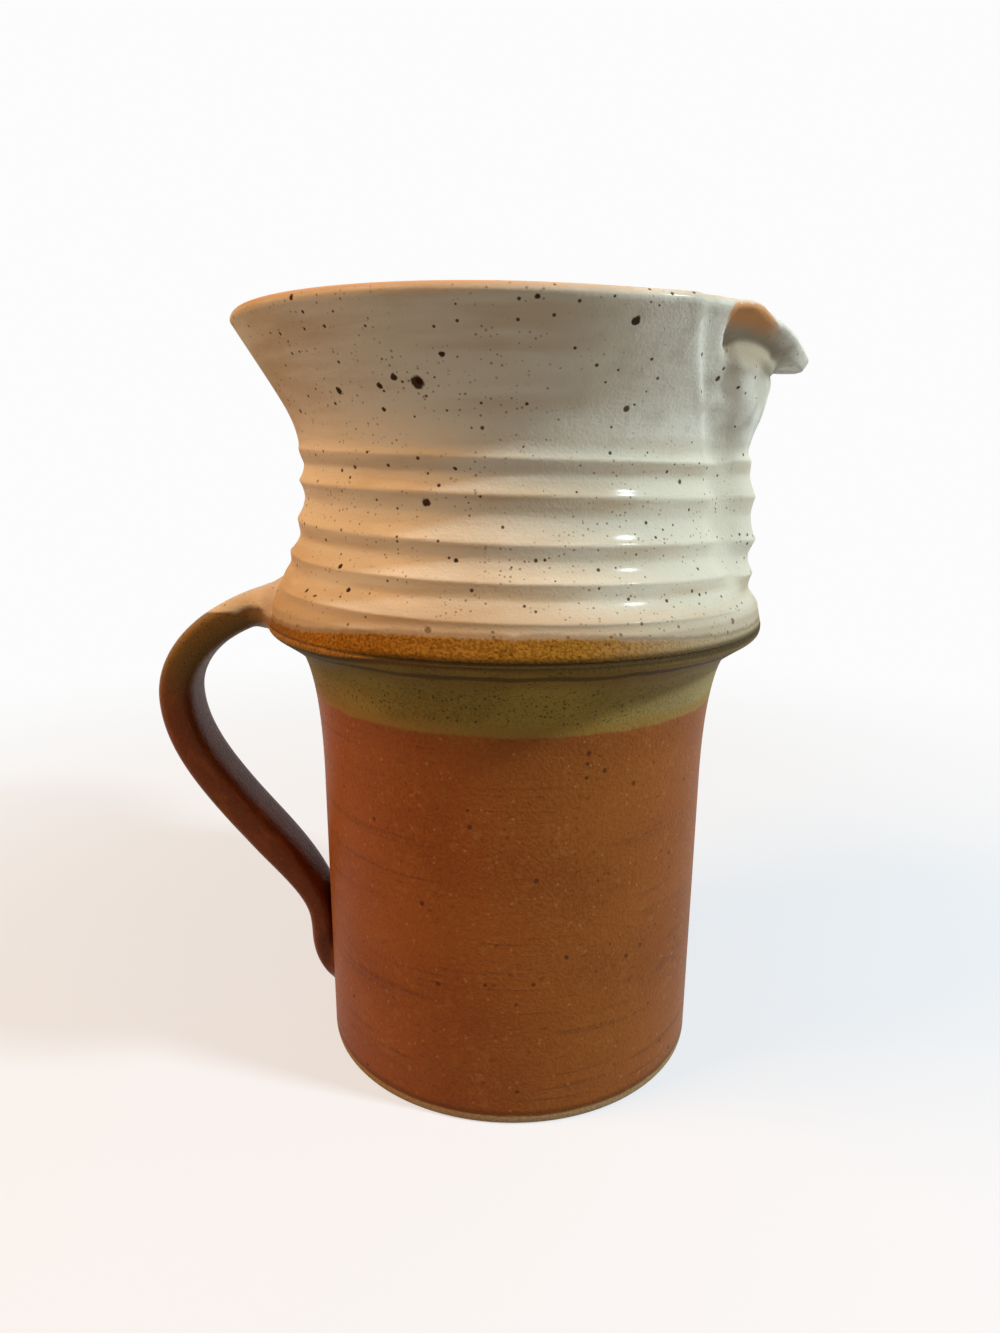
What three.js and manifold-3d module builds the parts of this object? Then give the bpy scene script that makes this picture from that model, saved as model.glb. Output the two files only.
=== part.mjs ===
// Stoneware pitcher in millimetres, +Z up. The wheel's axis is Z, the foot stands on z = 0,
// the spout points along +X and the handle along -X.
// Two sections come off the wheel: a straight lower body and a ridged collar, whose spout is
// pulled out of its wall. A pulled strap is the handle. Films of clay slip lute them together.
import * as THREE from 'three';
import { mergeVertices } from 'three/addons/utils/BufferGeometryUtils.js';
import Module from 'manifold-3d';

const wasm = await Module();
wasm.setup();

const { degToRad, lerp, smoothstep } = THREE.MathUtils;

// Lower body
const BODY_RADIUS = 61;
const BODY_WALL = 6;
const FLOOR_THICKNESS = 8;
const FLOOR_FILLET = 9;
const FOOT_BEVEL = 1.8;
const STRAIGHT_HEIGHT = 88; // top of the straight wall
const UNDERCUT_FLARE = 4.9; // how far the wall has swung out at the undercut corner
const UNDERCUT_HEIGHT = 130.3;
const SHOULDER_OVERHANG = 15.3; // how far the shoulder stands out past the straight wall
const SHOULDER_HEIGHT = 140.5; // the flat seam that the collar is luted to
const SHOULDER_EDGE = 2.7; // height of the rounded lower edge of the shoulder

// Luting slip
const SLIP_THICKNESS = 0.5;
const SLIP_INSET = 0.4; // the seam's slip is wiped back from the surface
const CLEARANCE = 0.3; // between clay that was cut to a curved wall and that wall

// Collar, with heights above its flat underside
const COLLAR_WALL = 5;
const SEAT_WALL = 6.8; // width of the flat underside
const LEDGE_HEIGHT = 6;
const LEDGE_TAPER = 1.3; // how far the band below the ledge leans in
const NECK_RADIUS = 64.3;
const NECK_HEIGHT = 41;
const RIM_RADIUS = 82;
const FLARE_HEIGHT = 57.5; // the neck turns out into the flare
const RIM_HEIGHT = 84.6;
const RIM_EDGE = 2.2; // radius of the rounded rim
const RIM_TILT = 1.7; // the rim stands this much higher over the handle, and lower at the spout

// Throwing ridges: one helical groove round the neck
const RIDGE_PITCH = 9.65;
const RIDGE_DEPTH = 1.6;
const RIDGE_RISE = 0.37; // share of the pitch from the groove up to the crest
const RIDGE_START = 22.4; // a groove's height below the spout
const RIDGE_TOP = 54; // the ridges have died out here
const RIDGE_STRETCH = 0.9; // the spout's pull draws them apart by this on the throat
const STRETCH_HEIGHT = 30; // away from this height

// Spout, pulled out of the collar's wall
const THROAT_PUSH = 7.2; // the neck is pushed out below the spout
const THROAT_EASE = 0.3; // share of the push that is gone where the flare starts
const THROAT_SPREAD = degToRad(31); // from the spout's middle to the crease at the neck
const CHEEK_SPREAD = degToRad(53); // the same at the rim
const CREASE_FLANK = degToRad(5);
const CREASE_DEPTH = 1.5; // the crease is pressed in beside the throat
const CREASE_LENGTH = 15; // and shallower from here down
const RIM_RISE = 1; // the pull draws the rim up at the creases
const BEAK_REACH = 8.8; // where the beak's two straight sides would meet, out past the rim
const BEAK_SPREAD = degToRad(47); // the rim leaves its circle here for the beak's straight side
const TIP_ROUND = degToRad(2.5); // rounds the tip where the sides meet
const BEAK_DROOP = 4.6; // how far the tip hangs below the rim
const DROOP_SPREAD = degToRad(13);
const LIP_HEIGHT = 4.5; // height of the lip that is drawn out whole
const LIP_FOOT = 10.2; // from the rim down to the wall that folds out into the lip
const DENT_DEPTH = 3.9; // finger dent under the lip on either side of the beak
const DENT_TOP = 1; // from the rim down to its upper edge
const DENT_MIDDLE = 7.8; // from the rim down to its deepest place
const DENT_FOOT = 14.2; // from the rim down to its foot
const NICK_DEPTH = 1; // line pressed in across the throat below the tip
const NICK_DROP = 12.8; // from the rim down to that line
const NICK_WIDTH = 1.7;

// Handle
const STRAP_THICKNESS = 11;
const STRAP_WIDTH = 20.5;
const STRAP_ROUNDING = 0.58; // of its section: 1 is an oval, and less is squarer
const ROOT_THICKNESS = 10.4;
const ROOT_WIDTH = 25;
const ROOT_DROP = 1; // the middle of the root lies this far below the ledge
const TAIL_THICKNESS = 8;
const HANDLE_REACH = 45.8; // from the straight wall to the middle of the strap
const BELLY_HEIGHT = 114.5; // where the loop stands out furthest
const TAIL_HEIGHT = 60; // where the strap comes in to the wall
const TAIL_LENGTH = 42; // from there down to the tip of the tail

// Fineness of the faceted surfaces
const TURN_STEPS = 60;
const SPOUT_CROWDING = 0.55; // draws the steps of a turn together at the spout
const NECK_ROWS = 20;
const FLARE_ROWS = 44; // every second one is left out in the lower half
const STRAP_SIDES = 18;
const STRAP_STEPS = 36;

const SHOULDER_RADIUS = BODY_RADIUS + SHOULDER_OVERHANG;
const UNDERCUT_RADIUS = BODY_RADIUS + UNDERCUT_FLARE;
const COLLAR_BASE = SHOULDER_HEIGHT + SLIP_THICKNESS;
const RIM_TOP = COLLAR_BASE + RIM_HEIGHT;
const LEDGE_RADIUS = SHOULDER_RADIUS - LEDGE_TAPER;
const SEAT_RADIUS = SHOULDER_RADIUS - SEAT_WALL;
const FLARE_FOOT = RIM_HEIGHT - FLARE_HEIGHT; // from the rim down to the foot of the flare

const at = (radius, height) => new THREE.Vector2(radius, height);
const bend = (...points) => new THREE.CubicBezierCurve(...points);

// Merges shared corners and drops the empty triangles that a pole leaves
function closedSkin(geometry) {
  geometry.deleteAttribute('normal');
  geometry.deleteAttribute('uv');
  const skin = mergeVertices(geometry);
  const corners = Array.from(skin.index.array);
  const kept = [];
  for (let i = 0; i < corners.length; i += 3) {
    const triangle = corners.slice(i, i + 3);
    if (new Set(triangle).size === 3) {
      kept.push(...triangle);
    }
  }
  skin.setIndex(kept);
  return skin;
}

function toSolid(skin) {
  const vertProperties = Float32Array.from(skin.attributes.position.array);
  const triVerts = Uint32Array.from(skin.index.array);
  return new wasm.Manifold(new wasm.Mesh({ numProp: 3, vertProperties, triVerts }));
}

function toSkin(solid) {
  const { vertProperties, triVerts } = solid.getMesh();
  const skin = new THREE.BufferGeometry();
  skin.setAttribute('position', new THREE.BufferAttribute(vertProperties, 3));
  skin.setIndex(new THREE.BufferAttribute(triVerts, 1));
  return skin;
}

// Azimuth of one step of a turn, from the handle past the spout and back
function azimuth(step) {
  const even = ((step % TURN_STEPS) / TURN_STEPS) * 2 * Math.PI - Math.PI;
  return even - SPOUT_CROWDING * Math.sin(even);
}

// Turns a profile about the axis. clay gives the radius and height of a profile's point at an azimuth.
function turn(profile, clay) {
  const turned = new THREE.LatheGeometry(profile, TURN_STEPS);
  const position = turned.attributes.position;
  for (let i = 0; i < position.count; i++) {
    const angle = azimuth(Math.floor(i / profile.length));
    const point = clay(profile[i % profile.length], angle);
    position.setXYZ(i, point.x * Math.cos(angle), point.x * Math.sin(angle), point.y);
  }
  return closedSkin(turned);
}

// Distance of the wall from the plain turned neck: the groove that the fingers leave as the wheel
// turns, which climbs one pitch a turn, steep below each crest and easy above it
function ridge(height, angle) {
  const aside = Math.abs(angle);
  const offThroat = smoothstep(aside, THROAT_SPREAD - CREASE_FLANK, THROAT_SPREAD + CREASE_FLANK);
  const unpulled = lerp(STRETCH_HEIGHT, height, lerp(RIDGE_STRETCH, 1, offThroat));
  const turns = (unpulled - RIDGE_START) / RIDGE_PITCH + angle / (2 * Math.PI);
  const phase = turns - Math.floor(turns);
  const swell = phase < RIDGE_RISE
    ? (phase / RIDGE_RISE) ** 2
    : 1 - smoothstep(phase, RIDGE_RISE, 1);
  const fadeIn = smoothstep(height, LEDGE_HEIGHT, LEDGE_HEIGHT + 0.4 * RIDGE_PITCH);
  const fadeOut = 1 - smoothstep(height, RIDGE_TOP - RIDGE_PITCH, RIDGE_TOP);
  return RIDGE_DEPTH * (swell - 0.5) * fadeIn * fadeOut;
}

// How much of a bump is left at a distance from its middle
const bump = (distance, spread) => Math.exp(-((distance / spread) ** 2));

// How far the rim leaves its circle, in plan, for the two straight sides that meet in the beak's tip
function beakLine(aside) {
  const tip = RIM_RADIUS + BEAK_REACH;
  const cornerAcross = RIM_RADIUS * Math.sin(BEAK_SPREAD);
  const cornerBack = tip - RIM_RADIUS * Math.cos(BEAK_SPREAD);
  const rounded = Math.hypot(aside, TIP_ROUND);
  const side = tip * cornerAcross
    / (cornerAcross * Math.cos(rounded) + cornerBack * Math.sin(rounded));
  const onCircle = smoothstep(aside, BEAK_SPREAD - CREASE_FLANK, BEAK_SPREAD + CREASE_FLANK);
  return (side - RIM_RADIUS) * (1 - onCircle);
}

// Where the pulled spout takes the clay that the wheel left at this height and azimuth
function pullSpout(point, angle) {
  const height = point.y - COLLAR_BASE;
  const belowRim = RIM_HEIGHT - height;
  const aside = Math.abs(angle);
  const crease = lerp(THROAT_SPREAD, CHEEK_SPREAD, smoothstep(height, NECK_HEIGHT, RIM_HEIGHT));

  const throatRise = smoothstep(height, LEDGE_HEIGHT - 1, NECK_HEIGHT - RIDGE_PITCH);
  const throatEase = THROAT_EASE * smoothstep(height, NECK_HEIGHT, NECK_HEIGHT + RIDGE_PITCH);
  const throatFade = (1 - THROAT_EASE) * (1 - smoothstep(belowRim, LIP_FOOT, FLARE_FOOT));
  const throatAcross = 1 - smoothstep(aside, crease - 2 * CREASE_FLANK, crease + CREASE_FLANK);
  const creaseFade = smoothstep(belowRim, 0.8 * CREASE_LENGTH, 1.2 * CREASE_LENGTH);
  const creased = CREASE_DEPTH * lerp(1, 0.3, creaseFade)
    * bump(aside - crease - CREASE_FLANK, CREASE_FLANK / 1.5);
  const throat = throatRise
    * (THROAT_PUSH * (1 - throatEase - throatFade) * throatAcross - creased);

  const drawn = 1 - smoothstep(belowRim, LIP_HEIGHT, LIP_FOOT);
  const beak = beakLine(aside) * drawn;
  const droop = BEAK_DROOP * drawn * bump(aside, DROOP_SPREAD);

  const dentDepth = DENT_DEPTH * smoothstep(belowRim, DENT_TOP, DENT_MIDDLE)
    * (1 - smoothstep(belowRim, DENT_MIDDLE, DENT_FOOT));
  const dentAcross = smoothstep(aside, DROOP_SPREAD / 2, 1.5 * DROOP_SPREAD)
    * (1 - smoothstep(aside, crease - CREASE_FLANK / 2, crease + CREASE_FLANK / 3));
  const nickAcross = 1 - smoothstep(aside, DROOP_SPREAD, 2 * DROOP_SPREAD);
  const nick = NICK_DEPTH * bump(belowRim - NICK_DROP, NICK_WIDTH) * nickAcross;
  const pressed = dentDepth * dentAcross + nick;

  const flared = smoothstep(height, NECK_HEIGHT, RIM_HEIGHT);
  const rise = RIM_RISE * bump(aside - CHEEK_SPREAD, 3 * CREASE_FLANK);
  const tilt = RIM_TILT * Math.cos(angle) - rise;
  return at(point.x + throat + beak - pressed, point.y - droop - tilt * flared);
}

// Lower body: outside from the foot's bevel up to the seam
const footRadius = BODY_RADIUS - FOOT_BEVEL;
const bodyOutside = [
  at(footRadius, 0),
  at(footRadius + 0.6 * FOOT_BEVEL, FOOT_BEVEL),
  ...bend(
    at(BODY_RADIUS, STRAIGHT_HEIGHT),
    at(BODY_RADIUS, lerp(STRAIGHT_HEIGHT, UNDERCUT_HEIGHT, 0.4)),
    at(lerp(BODY_RADIUS, UNDERCUT_RADIUS, 0.25), lerp(STRAIGHT_HEIGHT, UNDERCUT_HEIGHT, 0.8)),
    at(UNDERCUT_RADIUS, UNDERCUT_HEIGHT),
  ).getPoints(7),
  at(SHOULDER_RADIUS - 0.5 * SHOULDER_EDGE, SHOULDER_HEIGHT - SHOULDER_EDGE),
  at(SHOULDER_RADIUS - 0.15 * SHOULDER_EDGE, SHOULDER_HEIGHT - 0.5 * SHOULDER_EDGE),
  at(SHOULDER_RADIUS, SHOULDER_HEIGHT),
];

// Inside of the lower body, from the seam down to the floor
const innerRadius = BODY_RADIUS - BODY_WALL;
const fillet = new THREE.EllipseCurve(
  innerRadius - FLOOR_FILLET, FLOOR_THICKNESS + FLOOR_FILLET, FLOOR_FILLET, FLOOR_FILLET,
  0, -Math.PI / 2, true,
);
const bodyInside = [
  at(SEAT_RADIUS, SHOULDER_HEIGHT),
  ...bend(
    at(UNDERCUT_RADIUS - BODY_WALL, UNDERCUT_HEIGHT + 0.4 * BODY_WALL),
    at(lerp(innerRadius, UNDERCUT_RADIUS - BODY_WALL, 0.25), lerp(STRAIGHT_HEIGHT, UNDERCUT_HEIGHT, 0.8)),
    at(innerRadius, lerp(STRAIGHT_HEIGHT, UNDERCUT_HEIGHT, 0.4)),
    at(innerRadius, STRAIGHT_HEIGHT),
  ).getPoints(5),
  ...fillet.getPoints(5),
];
const bodyProfile = [at(0, 0), ...bodyOutside, ...bodyInside, at(0, FLOOR_THICKNESS)];
const asThrown = (point) => point;
const lowerBody = turn(bodyProfile, asThrown);

// Collar: outside from the seam over the ledge and the neck to the rim
const neckTop = COLLAR_BASE + NECK_HEIGHT;
const ledgeTop = COLLAR_BASE + LEDGE_HEIGHT;
const flareFoot = COLLAR_BASE + FLARE_HEIGHT;
const rimLevel = RIM_TOP - RIM_EDGE;
const shoulderCurve = bend(
  at(LEDGE_RADIUS, ledgeTop),
  at(lerp(NECK_RADIUS, LEDGE_RADIUS, 0.58), lerp(ledgeTop, neckTop, 0.19)),
  at(NECK_RADIUS, lerp(ledgeTop, neckTop, 0.52)),
  at(NECK_RADIUS, neckTop),
);
const flareCurve = bend(
  at(NECK_RADIUS, neckTop),
  at(NECK_RADIUS, flareFoot + 1),
  at(NECK_RADIUS + 1.2, flareFoot - 1),
  at(RIM_RADIUS, rimLevel),
);
const closeRows = (_, row) => row >= FLARE_ROWS / 2 || row % 2 === 1;
const collarOutside = [
  at(SHOULDER_RADIUS, COLLAR_BASE),
  ...shoulderCurve.getSpacedPoints(NECK_ROWS),
  ...flareCurve.getSpacedPoints(FLARE_ROWS).slice(1).filter(closeRows),
];

// Rounded rim, then the inside down to the seam
const rimRound = new THREE.EllipseCurve(RIM_RADIUS - RIM_EDGE, rimLevel, RIM_EDGE, RIM_EDGE, 0, Math.PI);
const throatRadius = NECK_RADIUS - COLLAR_WALL;
const collarInside = [
  ...bend(
    at(RIM_RADIUS - 2 * RIM_EDGE, rimLevel),
    at(throatRadius + 1.2, flareFoot + 0.3 * COLLAR_WALL),
    at(throatRadius, flareFoot + 0.5 * COLLAR_WALL),
    at(throatRadius, neckTop),
  ).getPoints(8),
  ...bend(
    at(throatRadius, neckTop),
    at(throatRadius, lerp(ledgeTop, neckTop, 0.52)),
    at(lerp(throatRadius, SEAT_RADIUS, 0.58), lerp(ledgeTop, neckTop, 0.19)),
    at(SEAT_RADIUS, ledgeTop),
  ).getPoints(5).slice(1),
  at(SEAT_RADIUS, COLLAR_BASE),
];

const collarProfile = [
  ...collarOutside,
  ...rimRound.getPoints(6).slice(1, -1),
  ...collarInside,
  collarOutside[0],
];
const outsidePoints = new Set(collarOutside);
function collarClay(point, angle) {
  const pulled = pullSpout(point, angle);
  if (outsidePoints.has(point)) {
    pulled.x += ridge(point.y - COLLAR_BASE, angle);
  }
  return pulled;
}
const upperCollar = turn(collarProfile, collarClay);

// Slip in the seam between the two thrown sections
const shoulderSlip = turn([
  at(SHOULDER_RADIUS - SLIP_INSET, SHOULDER_HEIGHT),
  at(SHOULDER_RADIUS - SLIP_INSET, COLLAR_BASE),
  at(SEAT_RADIUS + SLIP_INSET, COLLAR_BASE),
  at(SEAT_RADIUS + SLIP_INSET, SHOULDER_HEIGHT),
  at(SHOULDER_RADIUS - SLIP_INSET, SHOULDER_HEIGHT),
], asThrown);

// The whole pot as one lump, its outside grown by a distance, to fit the handle's ends to the walls
function grownPot(distance) {
  const outside = [...bodyOutside, ...collarOutside];
  const profile = [at(0, 0), ...outside, at(0, RIM_TOP)];
  const grown = new Set(outside);
  return toSolid(turn(profile, (point, angle) => {
    if (!grown.has(point)) {
      return point;
    }
    const clay = collarClay(point, angle);
    clay.x += distance;
    return clay;
  }));
}

// Handle: the middle line of the strap, out from the shoulder, round the belly and down to the wall
const inAir = (radius, height) => new THREE.Vector3(-radius, 0, height);
const belly = inAir(BODY_RADIUS + HANDLE_REACH, BELLY_HEIGHT);
const rootHeight = COLLAR_BASE + LEDGE_HEIGHT - ROOT_DROP;
const landing = inAir(BODY_RADIUS + 14.6, TAIL_HEIGHT);
const kneeHeight = lerp(TAIL_HEIGHT, BELLY_HEIGHT, 0.28);
const knee = inAir(BODY_RADIUS + 27, kneeHeight);
const tailRadius = BODY_RADIUS + 2.5;
const tailMiddle = inAir(tailRadius, TAIL_HEIGHT - 0.66 * TAIL_LENGTH);
const strapLine = new THREE.CurvePath();
strapLine.add(new THREE.CubicBezierCurve3(
  inAir(SHOULDER_RADIUS - 10, rootHeight),
  inAir(SHOULDER_RADIUS + 14, rootHeight - 3),
  inAir(BODY_RADIUS + HANDLE_REACH, lerp(BELLY_HEIGHT, rootHeight, 0.48)),
  belly,
));
strapLine.add(new THREE.CubicBezierCurve3(
  belly,
  inAir(BODY_RADIUS + HANDLE_REACH, lerp(kneeHeight, BELLY_HEIGHT, 0.66)),
  inAir(BODY_RADIUS + 38, lerp(kneeHeight, BELLY_HEIGHT, 0.36)),
  knee,
));
strapLine.add(new THREE.LineCurve3(knee, landing));
strapLine.add(new THREE.CubicBezierCurve3(
  landing,
  inAir(BODY_RADIUS + 3.6, TAIL_HEIGHT - 0.33 * TAIL_LENGTH),
  inAir(tailRadius, TAIL_HEIGHT - 0.45 * TAIL_LENGTH),
  tailMiddle,
));
strapLine.add(new THREE.CubicBezierCurve3(
  tailMiddle,
  inAir(tailRadius, TAIL_HEIGHT - 0.78 * TAIL_LENGTH),
  inAir(BODY_RADIUS + 2, TAIL_HEIGHT - 0.94 * TAIL_LENGTH),
  inAir(BODY_RADIUS - 3, TAIL_HEIGHT - 1.05 * TAIL_LENGTH),
));

// The strap's flattened round section, drawn thick at the root and thin at the tail
function strapSize(along) {
  const root = 1 - smoothstep(along, 0.02, 0.2);
  const tail = smoothstep(along, 0.66, 0.86);
  const tip = smoothstep(along, 0.86, 1);
  return {
    thickness: STRAP_THICKNESS + (ROOT_THICKNESS - STRAP_THICKNESS) * root
      + (TAIL_THICKNESS - STRAP_THICKNESS) * tail,
    width: STRAP_WIDTH + (ROOT_WIDTH - STRAP_WIDTH) * root - 0.35 * STRAP_WIDTH * tip,
  };
}

// Lays the skin of a cylinder along the strap's line
function pullStrap() {
  const skin = new THREE.CylinderGeometry(1, 1, 1, STRAP_SIDES, STRAP_STEPS);
  const position = skin.attributes.position;
  const flatten = (value) => Math.sign(value) * Math.abs(value) ** STRAP_ROUNDING;
  const across = new THREE.Vector3(0, 1, 0);
  for (let i = 0; i < position.count; i++) {
    const along = 0.5 - position.getY(i);
    const { thickness, width } = strapSize(along);
    const outward = new THREE.Vector3().crossVectors(across, strapLine.getTangent(along));
    const point = strapLine.getPoint(along);
    point.addScaledVector(outward, 0.5 * thickness * flatten(position.getX(i)));
    point.addScaledVector(across, 0.5 * width * flatten(position.getZ(i)));
    position.setXYZ(i, point.x, point.y, point.z);
  }
  return toSolid(closedSkin(skin));
}

// The strap is cut to the pot, and slip fills the seam that is left
const strap = pullStrap();
const slipBed = grownPot(CLEARANCE);
const slipFace = grownPot(CLEARANCE + SLIP_THICKNESS);
const handleSeat = grownPot(2 * CLEARANCE + SLIP_THICKNESS);
const handle = strap.subtract(handleSeat);
const slips = strap.intersect(slipFace).subtract(slipBed);
const lowerHalf = new THREE.BoxGeometry(4 * RIM_RADIUS, 4 * RIM_RADIUS, 2 * BELLY_HEIGHT);
const belowBelly = toSolid(closedSkin(lowerHalf));

const pitcher = new THREE.Group();

function addPiece(name, geometry, color, roughness) {
  const material = new THREE.MeshStandardMaterial({ color, roughness, metalness: 0 });
  const mesh = new THREE.Mesh(geometry, material);
  mesh.name = name;
  pitcher.add(mesh);
}

addPiece('lower_body', lowerBody, '#6e3910', 0.4);
addPiece('upper_collar', upperCollar, '#b09b7b', 0.35);
addPiece('shoulder_slip', shoulderSlip, '#8a5a30', 0.8);
addPiece('handle', toSkin(handle), '#5c321c', 0.4);
addPiece('handle_top_slip', toSkin(slips.subtract(belowBelly)), '#8a5a30', 0.8);
addPiece('handle_foot_slip', toSkin(slips.intersect(belowBelly)), '#8a5a30', 0.8);

export default pitcher;
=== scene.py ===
from math import atan2, copysign, cos, exp, hypot, pi, radians, sin, sqrt, tau

import bmesh
import bpy
from mathutils import Matrix, Vector
from mathutils.geometry import interpolate_bezier, intersect_point_line


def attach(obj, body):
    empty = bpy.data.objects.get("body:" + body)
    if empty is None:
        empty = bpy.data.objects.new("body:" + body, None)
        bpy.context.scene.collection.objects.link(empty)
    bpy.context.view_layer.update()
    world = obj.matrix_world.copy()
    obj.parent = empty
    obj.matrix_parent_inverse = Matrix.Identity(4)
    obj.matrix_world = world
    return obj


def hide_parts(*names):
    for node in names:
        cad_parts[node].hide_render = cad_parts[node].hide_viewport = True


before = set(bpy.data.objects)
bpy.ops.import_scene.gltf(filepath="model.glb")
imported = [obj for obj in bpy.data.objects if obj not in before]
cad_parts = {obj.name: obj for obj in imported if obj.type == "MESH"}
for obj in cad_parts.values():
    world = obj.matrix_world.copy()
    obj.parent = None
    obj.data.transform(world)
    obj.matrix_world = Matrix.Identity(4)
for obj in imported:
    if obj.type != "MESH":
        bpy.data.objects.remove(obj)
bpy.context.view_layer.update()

# Lower body: a straight cylinder of groggy stoneware, thrown on the wheel with its floor in one piece.
# The wall swings out under the shoulder. It is dipped in a satin rust glaze, an olive glaze is poured
# over its upper edge, the inside is lined with the white glaze, and the foot is wiped bare.
BODY_RADIUS = 0.061
BODY_WALL = 0.006
FLOOR_THICKNESS = 0.008
FLOOR_FILLET = 0.009
FOOT_ROUND = 0.0018
STRAIGHT_HEIGHT = 0.088  # top of the straight wall
UNDERCUT_RADIUS = 0.0659
UNDERCUT_HEIGHT = 0.1303
UNDERCUT_START = Vector((0.0011, 0, 0.0024))  # the way that the undercut leaves the wall,
UNDERCUT_END = Vector((0.0034, 0, 0.0024))  # comes out under the shoulder
EDGE_START = Vector((0.0009, 0, 0.0007))  # and turns up into the shoulder's edge
SHOULDER_RADIUS = 0.0763
SHOULDER_EDGE = 0.0027  # height of the rounded lower edge
SHOULDER_HEIGHT = 0.1405  # the flat seam that the collar is luted to
SEAT_RADIUS = 0.0695
EDGE = 0.0001  # the seam's edges are this crisp
BODY_STEPS = 160  # steps of one turn
OLIVE_EDGE = 0.1186  # the olive glaze ends here, level all round
POOL_HEIGHT = 0.1365  # a dark line of pooled glaze in the undercut
SEAM_RUN = 0.0019  # the ochre runs this far down over the seam at the handle
WIPED_HEIGHT = 0.0028  # the foot is bare up to here


def at(radius, height):
    return Vector((radius, 0, height))


def lerp(a, b, share):
    return a + (b - a) * share


def throw(outside, inside, steps):
    """Spins a profile about the wheel's axis. The points of the inside carry the mark "lining"."""
    clay = bmesh.new()
    lining = clay.verts.layers.float.new("lining")
    points = [clay.verts.new(point) for point in outside + inside]
    for point in points[len(outside) :]:
        point[lining] = 1
    edges = [clay.edges.new(pair) for pair in zip(points, points[1:])]
    if outside[0].x > 0:
        edges.append(clay.edges.new((points[-1], points[0])))
    bmesh.ops.spin(
        clay, geom=points + edges, axis=(0, 0, 1), cent=(0, 0, 0), angle=tau, steps=steps, use_merge=True
    )
    bmesh.ops.remove_doubles(clay, verts=clay.verts, dist=1e-7)
    bmesh.ops.recalc_face_normals(clay, faces=clay.faces)
    return clay


def fired(clay, name, *materials):
    """Makes the finished piece of a mesh, smooth and at the origin."""
    for face in clay.faces:
        face.smooth = True
    mesh = bpy.data.meshes.new(name)
    clay.to_mesh(mesh)
    clay.free()
    for material in materials:
        mesh.materials.append(material)
    piece = bpy.data.objects.new(name, mesh)
    bpy.context.scene.collection.objects.link(piece)
    return piece


def wall_curve(foot_radius, top_radius, top_height, points):
    """The wall from upright to leaning out under the shoulder, as this many points."""
    return interpolate_bezier(
        at(foot_radius, STRAIGHT_HEIGHT),
        at(foot_radius, lerp(STRAIGHT_HEIGHT, UNDERCUT_HEIGHT, 0.4)),
        at(lerp(foot_radius, top_radius, 0.25), lerp(STRAIGHT_HEIGHT, UNDERCUT_HEIGHT, 0.8)),
        at(top_radius, top_height),
        points,
    )


wall_swing = wall_curve(BODY_RADIUS, UNDERCUT_RADIUS, UNDERCUT_HEIGHT, 24)
under_edge = at(SHOULDER_RADIUS - 0.5 * SHOULDER_EDGE, SHOULDER_HEIGHT - SHOULDER_EDGE)
undercut = interpolate_bezier(  # a curve's last number is how many points it has
    wall_swing[-1],
    wall_swing[-1] + UNDERCUT_START,
    under_edge - UNDERCUT_END,
    under_edge,
    12,
)
shoulder_turn = interpolate_bezier(
    under_edge,
    under_edge + EDGE_START,
    at(SHOULDER_RADIUS, SHOULDER_HEIGHT - 0.5 * SHOULDER_EDGE),
    at(SHOULDER_RADIUS, SHOULDER_HEIGHT),
    7,
)
foot_turn = interpolate_bezier(
    at(BODY_RADIUS - FOOT_ROUND, 0),
    at(BODY_RADIUS - 0.4 * FOOT_ROUND, 0),
    at(BODY_RADIUS - 0.3 * FOOT_ROUND, 0.5 * FOOT_ROUND),
    at(BODY_RADIUS - 0.3 * FOOT_ROUND, 1.4 * FOOT_ROUND),
    7,
)
body_outside = foot_turn + wall_swing + undercut[1:] + shoulder_turn[1:]
inner_radius = BODY_RADIUS - BODY_WALL
inner_swing = wall_curve(inner_radius, UNDERCUT_RADIUS - BODY_WALL, UNDERCUT_HEIGHT + 0.4 * BODY_WALL, 16)
floor_turn = interpolate_bezier(
    at(inner_radius, FLOOR_THICKNESS + FLOOR_FILLET),
    at(inner_radius, FLOOR_THICKNESS + 0.45 * FLOOR_FILLET),
    at(inner_radius - 0.55 * FLOOR_FILLET, FLOOR_THICKNESS),
    at(inner_radius - FLOOR_FILLET, FLOOR_THICKNESS),
    9,
)
seam_top = [at(SHOULDER_RADIUS - EDGE, SHOULDER_HEIGHT), at(SEAT_RADIUS, SHOULDER_HEIGHT)]
body_inside = seam_top + inner_swing[::-1] + floor_turn + [at(0, FLOOR_THICKNESS)]
body_clay = throw([at(0, 0)] + body_outside, body_inside, BODY_STEPS)
lining = body_clay.verts.layers.float["lining"]
for face in body_clay.faces:
    if all(corner[lining] for corner in face.verts):
        face.material_index = 1


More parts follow.
